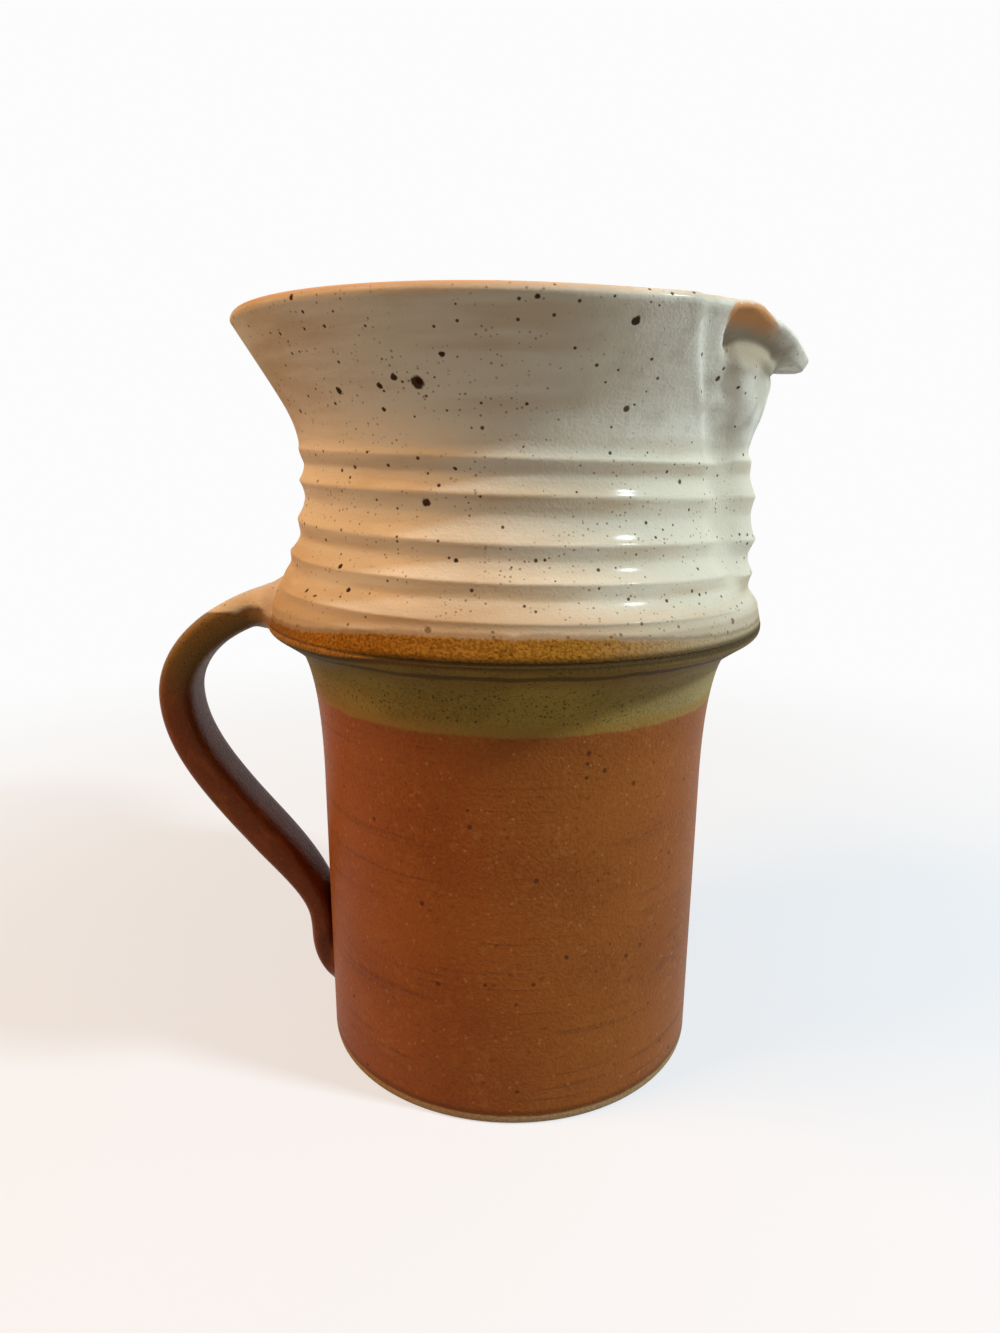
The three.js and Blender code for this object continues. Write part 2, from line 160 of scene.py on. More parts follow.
class Glaze:
    """A node's output in a material. Sums and products add Math nodes, and node() adds any other node."""

    def __init__(self, socket):
        self.socket = socket

    def node(self, kind, settings, inputs, output=0):
        tree = self.socket.id_data
        made = tree.nodes.new("ShaderNode" + kind)
        for name, value in settings.items():
            setattr(made, name, value)
        for name, value in inputs.items():
            if isinstance(value, Glaze):
                tree.links.new(value.socket, made.inputs[name])
            else:
                made.inputs[name].default_value = value
        return Glaze(made.outputs[output])

    def math(self, operation, first, second):
        return self.node("Math", {"operation": operation}, {0: first, 1: second})

    def __add__(self, other):
        return self.math("ADD", self, other)

    __radd__ = __add__

    def __sub__(self, other):
        return self.math("SUBTRACT", self, other)

    def __rsub__(self, other):
        return self.math("SUBTRACT", other, self)

    def __mul__(self, other):
        return self.math("MULTIPLY", self, other)

    __rmul__ = __mul__

    def most(self, other):
        """The larger of the two."""
        return self.math("MAXIMUM", self, other)

    def rise(self, low, high):
        """0 up to low and 1 from high on, eased between them. With high below low it falls instead."""
        span = {"Value": self, "From Min": low, "From Max": high}
        return self.node("MapRange", {"interpolation_type": "SMOOTHSTEP"}, span)

    def over(self, under, colour):
        """This share of a colour laid over the one under it."""
        return self.node("Mix", {"data_type": "RGBA"}, {0: self, 6: under, 7: colour}, 2)

    def part(self, name):
        return self.node("SeparateXYZ", {}, {"Vector": self}, name)

    def mark(self, name):
        """A mark that the mesh's points carry."""
        return self.node("Attribute", {"attribute_name": name}, {}, "Fac")

    def cloud(self, size, detail=2.0, drawn=1.0):
        """Even noise from 0 to 1 in lumps of this size, drawn out along the wheel's turning."""
        turned = {"Vector": self, "Scale": (1 / drawn, 1 / drawn, 1)}
        place = self.node("Mapping", {}, turned)
        grain = {"Vector": place, "Scale": 1 / size, "Detail": detail}
        return place.node("TexNoise", {}, grain)

    def waver(self, size, span, detail=3.0):
        """Noise to both sides of 0, this far from end to end."""
        return (self.cloud(size, detail) - 0.5) * span

    def specks(self, spacing, radius, share):
        """Round specks: this share of the cells of a scatter has one, from tiny up to the radius."""
        cells = {"Vector": self, "Scale": 1 / spacing}
        distance = self.node("TexVoronoi", {}, cells, "Distance")
        chance = Glaze(distance.socket.node.outputs["Color"]).part("X")
        reach = radius / spacing
        return (chance.rise(1 - share, 1) * reach - distance).rise(0, 0.35 * reach)


def paint(code):
    """The linear colour of a hex code in sRGB."""
    parts = [int(code[i : i + 2], 16) / 255 for i in (0, 2, 4)]
    return *(c / 12.92 if c < 0.0405 else ((c + 0.055) / 1.055) ** 2.4 for c in parts), 1


def new_glaze(name, specular=0.5):
    """A material, its shader and the Object coordinates that its pattern follows."""
    material = bpy.data.materials.new(name)
    material.use_nodes = True
    tree = material.node_tree
    shader = tree.nodes["Principled BSDF"]
    shader.inputs["Specular IOR Level"].default_value = specular
    place = Glaze(tree.nodes.new("ShaderNodeTexCoord").outputs["Object"])
    return material, shader, place


def glaze_with(shader, colour, roughness, height, depth):
    """Feeds a shader its colour and roughness, and a bump of this depth in metres."""
    grained = height.node("Bump", {}, {"Height": height, "Distance": depth, "Strength": 1}, "Normal")
    for name, value in {"Base Color": colour, "Roughness": roughness, "Normal": grained}.items():
        value.socket.id_data.links.new(value.socket, shader.inputs[name])


def rust_glaze(place):
    """Rust-brown satin glaze with fine grog showing through, and faint rings that the fingers left."""
    patches = place.cloud(0.03, 3, 1.5).rise(0.3, 0.7)
    rings = place.cloud(0.0024, 2, 26).rise(0.54, 0.68) * place.cloud(0.03, 1).rise(0.42, 0.62)
    grain = place.cloud(0.0009, 4).rise(0.38, 0.62)
    grog = place.cloud(0.0021, 4).rise(0.52, 0.66) * place.cloud(0.014, 2).rise(0.35, 0.65)
    colour = patches.over(paint("8a491b"), paint("995622"))
    colour = (rings * 0.5).over(colour, paint("673310"))
    colour = (grain * 0.35).over(colour, paint("a5662e"))
    colour = (grog * 0.4).over(colour, paint("a8703a"))
    pits = place.cloud(0.0017, 3, 1.4).rise(0.62, 0.72)
    colour = (pits * 0.45).over(colour, paint("5f2d0e"))
    pale = place.specks(0.0021, 0.0006, 0.6)
    dark = place.specks(0.0045, 0.0009, 0.45)
    colour = (pale * 0.4).over(colour, paint("c08a4e"))
    colour = (dark * 0.75).over(colour, paint("4a2714"))
    return colour, grain, rings


def olive_glaze(place):
    """Matt olive glaze, broken up by iron into dark and golden grains."""
    patches = place.cloud(0.013, 3, 2).rise(0.35, 0.65)
    grain = place.cloud(0.0009, 4).rise(0.42, 0.62)
    colour = patches.over(paint("896e2e"), paint("a0853e"))
    colour = (grain * 0.5).over(colour, paint("a78943"))
    fine = place.cloud(0.0006, 2).rise(0.52, 0.66)
    colour = (fine * 0.5).over(colour, paint("4d3d18"))
    dark = place.specks(0.0012, 0.0005, 0.9)
    return (dark * 0.7).over(colour, paint("3a3018"))


def ochre_glaze(place):
    """Ochre of thin white glaze over iron, broken into gold and dark grains."""
    grain = place.cloud(0.0008, 4).rise(0.35, 0.65)
    gold = (grain * 0.7).over(paint("8d5c1c"), paint("bd8a38"))
    return (place.specks(0.0012, 0.0005, 0.8) * 0.6).over(gold, paint("4d3314")), grain


def near_handle(place):
    """1 on the handle's side of the pot, where the ochre runs down over the seam, and 0 elsewhere."""
    return place.part("X").rise(-0.03, -0.055)


# Painted shade: the dark along the seam, under the collar's ochre band.
SEAM_SHADE = paint("3f3017")

rust, rust_shader, place = new_glaze("rust_glaze", specular=0.08)
colour, grain, rings = rust_glaze(place)
height = place.part("Z")
level = height + place.waver(0.012, 0.0022)
olive = level.rise(OLIVE_EDGE - 0.0006, OLIVE_EDGE + 0.0008)
run_line = level.rise(OLIVE_EDGE + 0.0042, OLIVE_EDGE + 0.0012)
# Painted sheen: the olive is painted paler towards the spout.
olive_and_sheen = (place.part("X").rise(0.01, 0.06) * 0.5).over(olive_glaze(place), paint("aa9f78"))
colour = olive.over(colour, olive_and_sheen)
colour = (olive * run_line * 0.75).over(colour, paint("9d7838"))
# Painted shade: the olive is darkened under the shoulder's overhang.
under = level.rise(UNDERCUT_HEIGHT - 0.001, UNDERCUT_HEIGHT + 0.005)
colour = (under * 0.5).over(colour, paint("664a22"))
pooled = level.rise(POOL_HEIGHT - 0.0013, POOL_HEIGHT - 0.0003)
pooled *= level.rise(POOL_HEIGHT + 0.0013, POOL_HEIGHT + 0.0003)
colour = (pooled * 0.75).over(colour, paint("332712"))
sunk = height + near_handle(place) * SEAM_RUN
# Painted shade: a dark line on the shoulder's edge just under the seam.
edge = sunk.rise(SHOULDER_HEIGHT - 0.0018, SHOULDER_HEIGHT - 0.0004)
colour = (edge * 0.85).over(colour, SEAM_SHADE)
over_seam = sunk.rise(SHOULDER_HEIGHT, SHOULDER_HEIGHT + 0.0008)
colour = over_seam.over(colour, ochre_glaze(place)[0])
wiped = (height + place.waver(0.006, 0.0006, 2)).rise(WIPED_HEIGHT + 0.0004, WIPED_HEIGHT - 0.0004)
glaze_end = height.rise(WIPED_HEIGHT + 0.0024, WIPED_HEIGHT + 0.0008) * 0.6
colour = glaze_end.over(colour, paint("5e3514"))
bare = (grain * 0.5).over(paint("a8885f"), paint("c4a67e"))
colour = wiped.over(colour, bare)
roughness = 0.4 + grain * 0.12 + olive * 0.14 + wiped * 0.35
glaze_with(rust_shader, colour, roughness, grain * 0.5 + rings * 0.7 + place.cloud(0.004, 2, 4), 0.00014)


def white_glaze(place, thin):
    """Warm white glaze, milky where it lies thick, tan where it is thin, with specks of iron."""
    clouds = place.cloud(0.03, 3, 2.2).rise(0.3, 0.7)
    streaks = place.cloud(0.005, 3, 9).rise(0.35, 0.65)
    milk = (clouds * 0.6 + streaks * 0.4).rise(thin - 0.4, thin + 0.8)
    colour = milk.over(paint("c4ae8c"), paint("dfd8c4"))
    dust = place.specks(0.0012, 0.00042, 0.8) * place.cloud(0.009, 2, 2).rise(0.42, 0.58)
    small = place.specks(0.0026, 0.0006, 0.7)
    large = place.specks(0.0082, 0.00115, 0.6)
    colour = (dust * 0.65).over(colour, paint("735434"))
    iron = small.most(large)
    return (iron * 0.88).over(colour, paint("40220f")), streaks, iron


lining_glaze, lining_shader, place = new_glaze("lining_glaze")
colour, streaks, iron = white_glaze(place, 0)
glaze_with(lining_shader, colour, 0.3 + streaks * 0.1, streaks - iron * 0.5, 0.0001)

lower_body = fired(body_clay, "lower_body_glazed", rust, lining_glaze)
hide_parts("lower_body")
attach(lower_body, "root")

# Seam slip: the ring of creamy clay that lutes the collar to the lower body, squeezed flat between the
# two and wiped a little concave with a wet finger. Outside it is painted dark as painted shade along the
# seam, and the white glaze covers it inside.
SLIP_THICKNESS = 0.0005
SLIP_INSET = 0.0001
SLIP_HOLLOW = 0.00016
COLLAR_BASE = SHOULDER_HEIGHT + SLIP_THICKNESS

slip_waist = at(SHOULDER_RADIUS - SLIP_HOLLOW, SHOULDER_HEIGHT + 0.5 * SLIP_THICKNESS)
slip_outside = interpolate_bezier(
    at(SHOULDER_RADIUS - SLIP_INSET, SHOULDER_HEIGHT),
    slip_waist,
    slip_waist,
    at(SHOULDER_RADIUS - SLIP_INSET, COLLAR_BASE),
    5,
)
slip_inside = [at(SEAT_RADIUS + SLIP_INSET, COLLAR_BASE), at(SEAT_RADIUS + SLIP_INSET, SHOULDER_HEIGHT)]
slip_clay = throw(slip_outside, slip_inside, BODY_STEPS)

slip_material, slip_shader, place = new_glaze("fired_slip", specular=0.3)
grain = place.cloud(0.0007, 4).rise(0.3, 0.7)
# Painted shade: the slip's outside is as dark as the shade along the seam.
colour = grain.over(SEAM_SHADE, paint("5a4522"))
colour = (place.specks(0.0014, 0.0005, 0.6) * 0.6).over(colour, paint("251a0c"))
under_ochre = near_handle(place) * place.part("Z").rise(0.13, 0.135)
colour = under_ochre.over(colour, ochre_glaze(place)[0])
colour = place.mark("lining").over(colour, white_glaze(place, 0)[0])
glaze_with(slip_shader, colour, 0.62 + grain * 0.2, grain, 0.0001)

shoulder_slip = fired(slip_clay, "shoulder_slip_ring", slip_material)
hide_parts("shoulder_slip")
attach(shoulder_slip, "root")

# Collar: the upper section, thrown apart and luted on. The fingers left one groove that climbs round
# the neck, the wall flares to a rounded rim, and the spout was pulled out of the soft wall between
# two finger dents. Semi-gloss white glaze over it breaks to ochre on the band above the seam.
COLLAR_WALL = 0.005
LEDGE_HEIGHT = 0.006
LEDGE_RADIUS = 0.075
NECK_RADIUS = 0.0643
NECK_HEIGHT = 0.041
RIM_RADIUS = 0.082
FLARE_HEIGHT = 0.0575  # the neck turns out into the flare
FLARE_BEND = 0.001
FLARE_LEAN = 0.0012
RIM_HEIGHT = 0.0846
RIM_EDGE = 0.0022  # radius of the rounded rim
RIM_TILT = 0.0017  # the rim is this much higher over the handle, and lower at the spout
RIDGE_CRESTS = 0.0093, 0.0183, 0.0274, 0.0392, 0.0479  # on the side between spout and handle
RIDGE_PITCH = 0.0095  # past the lowest and the highest crest
RIDGE_DEPTH = 0.0017
RIDGE_RISE = 0.46  # share of the pitch from the groove up to the crest
RIDGE_TOP = 0.054  # the ridges have died out here
RIDGE_STRETCH = 0.925  # the pull draws the ridges apart on the throat,
STRETCH_MIDDLE = 0.0297  # away from this height
ROOT_SIDES = radians(12), radians(30)  # the lowest ridge is smoothed away this near to the handle
THROAT_PUSH = 0.0072  # the neck is pushed out below the spout
THROAT_EASE = 0.3  # share of the push that is gone where the flare starts
THROAT_SPREAD = radians(31)  # from the spout's middle to the finger groove at the neck
CHEEK_SPREAD = radians(53)  # the same at the rim
CREASE_FLANK = radians(5)
CREASE_DEPTH = 0.0019  # the finger groove is pressed in beside the throat,
CREASE_INNER = -0.9, -0.1  # from its inner flank
CREASE_OUTER = 1.25, 1.85  # to its outer one, both in units of CREASE_FLANK,
CREASE_LENGTH = 0.021  # and below this length
CREASE_REST = 0.3  # only this share of its depth is left
RIM_RISE = 0.001  # the pull draws the rim up at the grooves
BEAK_REACH = 0.0088  # where the beak's two straight sides would meet, out past the rim
BEAK_SPREAD = radians(47)  # the rim leaves its circle here for the beak's straight side
TIP_ROUND = radians(2.5)
BEAK_DROOP = 0.0046  # how far the tip hangs below the rim
DROOP_SPREAD = radians(13)
LIP_HEIGHT = 0.0045  # height of the lip that is drawn out whole
LIP_FOOT = 0.0102  # from the rim down to the wall that folds out into the lip
DENT_DEPTH = 0.0039  # finger dent under the lip on either side of the beak
DENT_TOP = 0.001  # from the rim down to its upper edge,
DENT_MIDDLE = 0.0078  # its deepest place
DENT_FOOT = 0.0142  # and its foot
SHADE_TOPS = 0.0025, 0.0003  # the dent's darker glaze, partly painted shade, starts this far below the rim, by the tip and aside
SHADE_TURN = radians(25), radians(45)
SHADE_EDGE = 0.003
SHADE_FOOT = 0.004  # it runs on this far below the dent
NICK_DEPTH = 0.001  # line pressed in across the throat below the tip
NICK_DROP = 0.0128
NICK_WIDTH = 0.0021
SPOUT_CROWDING = 0.55  # draws the steps of a turn together at the spout
COLLAR_STEPS = 288  # steps of one turn
BAND_STEPS = 10
RIM_STEPS = 12

neck_top = COLLAR_BASE + NECK_HEIGHT
ledge_top = COLLAR_BASE + LEDGE_HEIGHT
flare_foot = COLLAR_BASE + FLARE_HEIGHT
rim_level = COLLAR_BASE + RIM_HEIGHT - RIM_EDGE
throat_radius = NECK_RADIUS - COLLAR_WALL


def neck_curve(ledge_radius, neck_radius, points):
    """The wall from the ledge in to the upright neck, as this many points."""
    return interpolate_bezier(
        at(ledge_radius, ledge_top),
        at(lerp(neck_radius, ledge_radius, 0.58), lerp(ledge_top, neck_top, 0.19)),
        at(neck_radius, lerp(ledge_top, neck_top, 0.52)),
        at(neck_radius, neck_top),
        points,
    )


band_foot, band_top = at(SHOULDER_RADIUS, COLLAR_BASE), at(LEDGE_RADIUS, ledge_top)
band = [band_foot.lerp(band_top, i / BAND_STEPS) for i in range(BAND_STEPS)]
flare_curve = interpolate_bezier(
    at(NECK_RADIUS, neck_top),
    at(NECK_RADIUS, flare_foot + FLARE_BEND),
    at(NECK_RADIUS + FLARE_LEAN, flare_foot - FLARE_BEND),
    at(RIM_RADIUS, rim_level),
    84,
)
rim_turn = [pi * i / RIM_STEPS for i in range(1, RIM_STEPS)]
rim_round = [at(RIM_RADIUS + RIM_EDGE * (cos(a) - 1), rim_level + RIM_EDGE * sin(a)) for a in rim_turn]
inner_flare = interpolate_bezier(
    at(RIM_RADIUS - 2 * RIM_EDGE, rim_level),
    at(throat_radius + FLARE_LEAN, flare_foot + 0.3 * COLLAR_WALL),
    at(throat_radius, flare_foot + 0.5 * COLLAR_WALL),
    at(throat_radius, neck_top),
    44,
)
inner_neck = neck_curve(SEAT_RADIUS, throat_radius, 20)[::-1]
collar_outside = band + neck_curve(LEDGE_RADIUS, NECK_RADIUS, 76) + flare_curve[1:]
collar_inside = inner_flare + inner_neck[1:] + [at(SEAT_RADIUS, COLLAR_BASE)]
seam_edge = [at(SHOULDER_RADIUS - EDGE, COLLAR_BASE)]
collar_clay = throw(seam_edge + collar_outside + rim_round, collar_inside, COLLAR_STEPS)
crests = [RIDGE_CRESTS[0] - 2 * RIDGE_PITCH, RIDGE_CRESTS[0] - RIDGE_PITCH, *RIDGE_CRESTS]
crests += [RIDGE_CRESTS[-1] + RIDGE_PITCH, RIDGE_CRESTS[-1] + 2 * RIDGE_PITCH]


def eased(value, low, high):
    share = min(max((value - low) / (high - low), 0), 1)
    return share * share * (3 - 2 * share)


def bump(distance, spread):
    return exp(-((distance / spread) ** 2))


def ridge(height, angle):
    """How far the throwing groove takes the neck's outside out or in, and if it is under a crest."""
    on_throat = 1 - eased(abs(angle), THROAT_SPREAD - CREASE_FLANK, THROAT_SPREAD + CREASE_FLANK)
    thrown = lerp(height, lerp(STRETCH_MIDDLE, height, RIDGE_STRETCH), on_throat)
    below = max(i for i, crest in enumerate(crests[:-1]) if i == 0 or crest <= thrown)
    turns = below + (thrown - crests[below]) / (crests[below + 1] - crests[below])
    phase = (turns + (angle + pi / 2) / tau) % 1
    climb = 1 - RIDGE_RISE
    swell = ((phase - climb) / RIDGE_RISE) ** 1.3 if phase > climb else (1 - phase / climb) ** 2
    fade = eased(height, LEDGE_HEIGHT, LEDGE_HEIGHT + 0.4 * RIDGE_PITCH)
    fade *= 1 - eased(height, RIDGE_TOP - RIDGE_PITCH, RIDGE_TOP)
    fade *= 1 - 0.7 * bump(abs(angle) - THROAT_SPREAD - 0.3 * CREASE_FLANK, 0.8 * CREASE_FLANK)
    at_root = 1 - eased(pi - abs(angle), *ROOT_SIDES)
    above_root = eased(height, LEDGE_HEIGHT + 0.8 * RIDGE_PITCH, LEDGE_HEIGHT + 1.4 * RIDGE_PITCH)
    fade *= lerp(1, above_root, at_root)
    under = eased(phase, climb - 0.1, climb + 0.15) * fade
    return RIDGE_DEPTH * (swell - 0.5) * fade, under


def beak_line(aside):
    """How far the rim leaves its circle, in plan, for the two straight sides that meet in the tip."""
    tip = RIM_RADIUS + BEAK_REACH
    corner_across = RIM_RADIUS * sin(BEAK_SPREAD)
    corner_back = tip - RIM_RADIUS * cos(BEAK_SPREAD)
    rounded = hypot(aside, TIP_ROUND)
    side = tip * corner_across / (corner_across * cos(rounded) + corner_back * sin(rounded))
    on_circle = eased(aside, BEAK_SPREAD - CREASE_FLANK, BEAK_SPREAD + CREASE_FLANK)
    return (side - RIM_RADIUS) * (1 - on_circle)


def pull_spout(radius, height, angle):
    """The radius and height that the pull gives this clay, its share of the dent's darker glaze, which is
    partly thin glaze and partly painted shade under the lip, and its share of the nick."""
    below_rim = RIM_HEIGHT - height
    aside = abs(angle)
    crease = lerp(THROAT_SPREAD, CHEEK_SPREAD, eased(height, NECK_HEIGHT, RIM_HEIGHT))

    throat_rise = eased(height, LEDGE_HEIGHT - 0.001, NECK_HEIGHT - RIDGE_PITCH)
    throat_ease = THROAT_EASE * eased(height, NECK_HEIGHT, NECK_HEIGHT + RIDGE_PITCH)
    throat_fade = (1 - THROAT_EASE) * (1 - eased(below_rim, LIP_FOOT, RIM_HEIGHT - FLARE_HEIGHT))
    across = 1 - eased(aside, crease - 2 * CREASE_FLANK, crease + CREASE_FLANK)
    beside = (aside - crease) / CREASE_FLANK
    creased = CREASE_DEPTH * eased(beside, *CREASE_INNER) * (1 - eased(beside, *CREASE_OUTER))
    creased *= lerp(1, CREASE_REST, eased(below_rim, 0.85 * CREASE_LENGTH, 1.15 * CREASE_LENGTH))
    throat = throat_rise * (THROAT_PUSH * (1 - throat_ease - throat_fade) * across - creased)

    drawn = 1 - eased(below_rim, LIP_HEIGHT, LIP_FOOT)
    beak = beak_line(aside) * drawn
    droop = BEAK_DROOP * drawn * bump(aside, DROOP_SPREAD)

    under_lip = eased(aside, DROOP_SPREAD / 2, 1.5 * DROOP_SPREAD)
    under_lip *= 1 - eased(aside, crease - CREASE_FLANK / 2, crease + CREASE_FLANK / 3)
    dent = eased(below_rim, DENT_TOP, DENT_MIDDLE) * (1 - eased(below_rim, DENT_MIDDLE, DENT_FOOT))
    shade_top = lerp(*SHADE_TOPS, eased(aside, *SHADE_TURN))
    shade = eased(below_rim, shade_top, shade_top + SHADE_EDGE)
    shade *= 1 - eased(below_rim, DENT_MIDDLE + SHADE_EDGE, DENT_FOOT + SHADE_FOOT)
    nick = bump(below_rim - NICK_DROP, NICK_WIDTH)
    nick *= 1 - eased(aside, 2 * DROOP_SPREAD, 3 * DROOP_SPREAD)
    pressed = DENT_DEPTH * dent * under_lip + NICK_DEPTH * nick

    flared = eased(height, NECK_HEIGHT, RIM_HEIGHT)
    tilt = RIM_TILT * cos(angle) - RIM_RISE * bump(aside - CHEEK_SPREAD, 3 * CREASE_FLANK)
    return radius + throat + beak - pressed, height - droop - tilt * flared, shade * under_lip, nick


lining = collar_clay.verts.layers.float["lining"]
# Under each crest the white is painted darker: partly thin glaze, partly painted shade.
crest_shade = collar_clay.verts.layers.float.new("crest_shade")
dent = collar_clay.verts.layers.float.new("dent")
nick = collar_clay.verts.layers.float.new("nick")
lip = collar_clay.verts.layers.float.new("lip")
for vert in collar_clay.verts:
    even = atan2(vert.co.y, vert.co.x)
    angle = even - SPOUT_CROWDING * sin(even)
    thrown = vert.co.z - COLLAR_BASE
    radius, height, vert[dent], vert[nick] = pull_spout(hypot(vert.co.x, vert.co.y), thrown, angle)
    if not vert[lining]:
        swell, vert[crest_shade] = ridge(thrown, angle)
        radius += swell
    on_rim = eased(thrown, RIM_HEIGHT - 0.8 * RIM_EDGE, RIM_HEIGHT)
    vert[lip] = on_rim * (1 - 0.8 * eased(cos(angle), -0.3, 0.4))  # most over the handle
    vert.co = radius * cos(angle), radius * sin(angle), COLLAR_BASE + height

THIN_FLARE = 0.19, 0.205  # heights where the white glaze thins out on the flare, partly painted shade there
THIN_FOOT = 0.159, 0.151  # and over the ledge,
LIT_FLARE = 0.185, 0.2  # is painted paler on the flare towards the spout as painted light
WARM_LIP = 0.2185, 0.222  # and is painted warm along the dent's upper edge, partly thin glaze and partly painted light
OCHRE_LINE = ledge_top + 0.0006, ledge_top - 0.0006  # the white breaks to ochre on the band,
HANDLE_SAG = 0.0035  # this much lower at the handle
SPOUT_SAG = 0.004  # and at the spout
TAN_ZONE = ledge_top + 0.0075, ledge_top + 0.0025  # the white is painted tan in a strip above the ledge
TAN = paint("ab9170")
BIG_SPECKS = [  # the largest iron spots: place and radius, in millimetres
    ((-25.4, -65.5, 206.0), 1.9),
    ((-31.1, -63.9, 207.2), 1.1),
    ((-34.7, -60.7, 205.6), 1.0),
    ((-45.6, -52.4, 204.9), 1.1),
    ((23.1, -75.6, 218.6), 1.2),
    ((-24.2, -59.3, 178.2), 1.2),
    ((-17.0, -61.2, 186.5), 0.7),
    ((-19.6, -71.3, 211.6), 0.8),
    ((0.9, -81.2, 222.4), 0.8),
    ((-54.5, -60.9, 224.9), 0.8),
    ((-34.2, -57.6, 200.3), 0.7),
    ((57.7, -34.8, 177.9), 0.9),
    ((-23.6, -70.2, 148.3), 0.9),
    ((-47.3, -49.2, 161.2), 0.9),
    ((-44.9, -53.0, 155.5), 0.8),
    ((-57.9, -41.3, 153.7), 0.8),
    ((-16.9, -63.9, 164.5), 0.7),
]


def band_ochre(place):
    """The ochre of the band, painted pale towards the spout as a painted sheen and dull beside the handle,
    and its grain.
    """
    gold, grain = ochre_glaze(place)
    # Painted sheen: the ochre is painted paler towards the spout.
    gold = (place.part("X").rise(0.01, 0.065) * 0.85).over(gold, paint("bcb092"))
    return (place.part("X").rise(-0.052, -0.068) * 0.6).over(gold, paint("7d5f40")), grain


white, white_shader, place = new_glaze("speckled_white_glaze", specular=0)
spoutward = place.part("X")
height = place.part("Z")
outside = 1 - place.mark("lining")
dent_shade = outside * place.mark("dent")
nick_shadow = outside * place.mark("nick")
rim = place.mark("lip")
# Thinner glaze lets the white go tan: on the flare and under each crest, where it is partly painted shade, at
# the rim, and over the ledge.
thin = height.rise(*THIN_FLARE) * 0.2 + place.mark("crest_shade") * 0.4 + rim * 0.3 + height.rise(*THIN_FOOT) * 0.3
thin = thin - spoutward.rise(0, 0.06) * 0.3
colour, streaks, iron = white_glaze(place, thin)
# Painted light: the flare is painted paler towards the spout, with grey patches in it.
flare_light = height.rise(*LIT_FLARE) * spoutward.rise(-0.01, 0.05) * (1 - iron)
colour = (flare_light * 0.75).over(colour, paint("efede0"))
patches = place.cloud(0.011, 3).rise(0.45, 0.62)
colour = (flare_light * patches * 0.45).over(colour, paint("b3ad96"))
# The dent under the lip is painted darker: partly thin glaze, partly painted shade.
colour = (dent_shade * 0.9).over(colour, paint("a89a82"))
# Painted shadow in the nick under the beak.
colour = (nick_shadow * 0.6).over(colour, paint("57523a"))
# Painted light: the warm thin glaze along the dent's upper edge is painted brighter than it is.
warm_and_lit = dent_shade.rise(0.02, 0.2) * height.rise(*WARM_LIP) * spoutward.rise(0.073, 0.06)
colour = (warm_and_lit * 0.85).over(colour, paint("df9c60"))
ragged = place.waver(0.0012, 0.0011, 2)
for spot, size in BIG_SPECKS:
    middle = [0.001 * c for c in spot]
    reach = place.node("VectorMath", {"operation": "DISTANCE"}, {0: place, 1: middle}, "Value")
    spot_mask = (reach + ragged).rise(0.00105 * size, 0.0007 * size)
    iron = iron.most(spot_mask)
    colour = (spot_mask * 0.95).over(colour, paint("361a09"))
colour = (rim * 0.8).over(colour, paint("d9a678"))

sagged = height + spoutward.rise(-0.028, -0.068) * HANDLE_SAG + spoutward.rise(0.005, 0.065) * SPOUT_SAG
level = sagged + place.waver(0.004, 0.0016)
ochre = outside * level.rise(*OCHRE_LINE)
colour = (outside * sagged.rise(*TAN_ZONE) * 0.5).over(colour, TAN)
gold, grain = band_ochre(place)
colour = ochre.over(colour, gold)
fringe = outside * level.rise(ledge_top + 0.0016, ledge_top + 0.0004) * (1 - ochre)
colour = (fringe * 0.5).over(colour, paint("6b4c29"))
# Painted shade: the collar's foot is darkened along the seam, except at the handle.
seam_shade = outside * height.rise(COLLAR_BASE + 0.002, COLLAR_BASE + 0.0006) * (1 - near_handle(place))
colour = (seam_shade * 0.75).over(colour, SEAM_SHADE)
roughness = 0.24 + streaks * 0.08 + ochre * 0.3 + iron * 0.12 + dent_shade * 0.4
relief = streaks * 0.5 + grain * 0.25 + ochre * grain * 0.6 - iron * 0.7 + place.cloud(0.0025, 2)
glaze_with(white_shader, colour, roughness, relief, 0.00012)
low_wall = outside * sagged.rise(ledge_top + 0.0036, ledge_top + 0.0022)
gloss = (1 - ochre) * (1 - iron) * (1 - dent_shade) * (1 - low_wall) * 0.13
gloss *= 1 - spoutward.rise(-0.05, -0.07) * 0.8
white.node_tree.links.new(gloss.socket, white_shader.inputs["Coat Weight"])
white_shader.inputs["Coat Roughness"].default_value = 0.16

upper_collar = fired(collar_clay, "upper_collar_glazed", white)
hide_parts("upper_collar")
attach(upper_collar, "root")

# Handle: a strap pulled from a lump of clay, bent in a loop, and pressed on with slip. Its root is
# smoothed into the shoulder with a wet finger and its tail is pressed flat on the wall. The white
# glaze runs over the root, then olive, and the rest is the rust glaze of the body.
STRAP_THICKNESS = 0.011
STRAP_WIDTH = 0.0205
STRAP_ROUNDING = 0.55  # of its section: 1 is an oval, and less is squarer
ROOT_THICKNESS = 0.0104
ROOT_WIDTH = 0.025
ROOT_DROP = 0.001  # the middle of the root lies this far below the ledge,
ROOT_DEPTH = 0.01  # starts this deep in the shoulder
ROOT_REACH = 0.014  # and heads out
ROOT_SAG = 0.003  # and a little down
HANDLE_REACH = 0.0458  # from the straight wall to the middle of the strap
BELLY_HEIGHT = 0.1145  # where the loop stands out furthest
KNEE_LEAD = 0.038
KNEE_RISE = 0.28  # share of the way up from the tail to the belly
KNEE_REACH = 0.027  # from here the strap runs straight in towards the wall,
LANDING_REACH = 0.0146  # and from here it bends down along it
LANDING_LEAD = 0.0036
TAIL_HEIGHT = 0.06
TAIL_LENGTH = 0.042
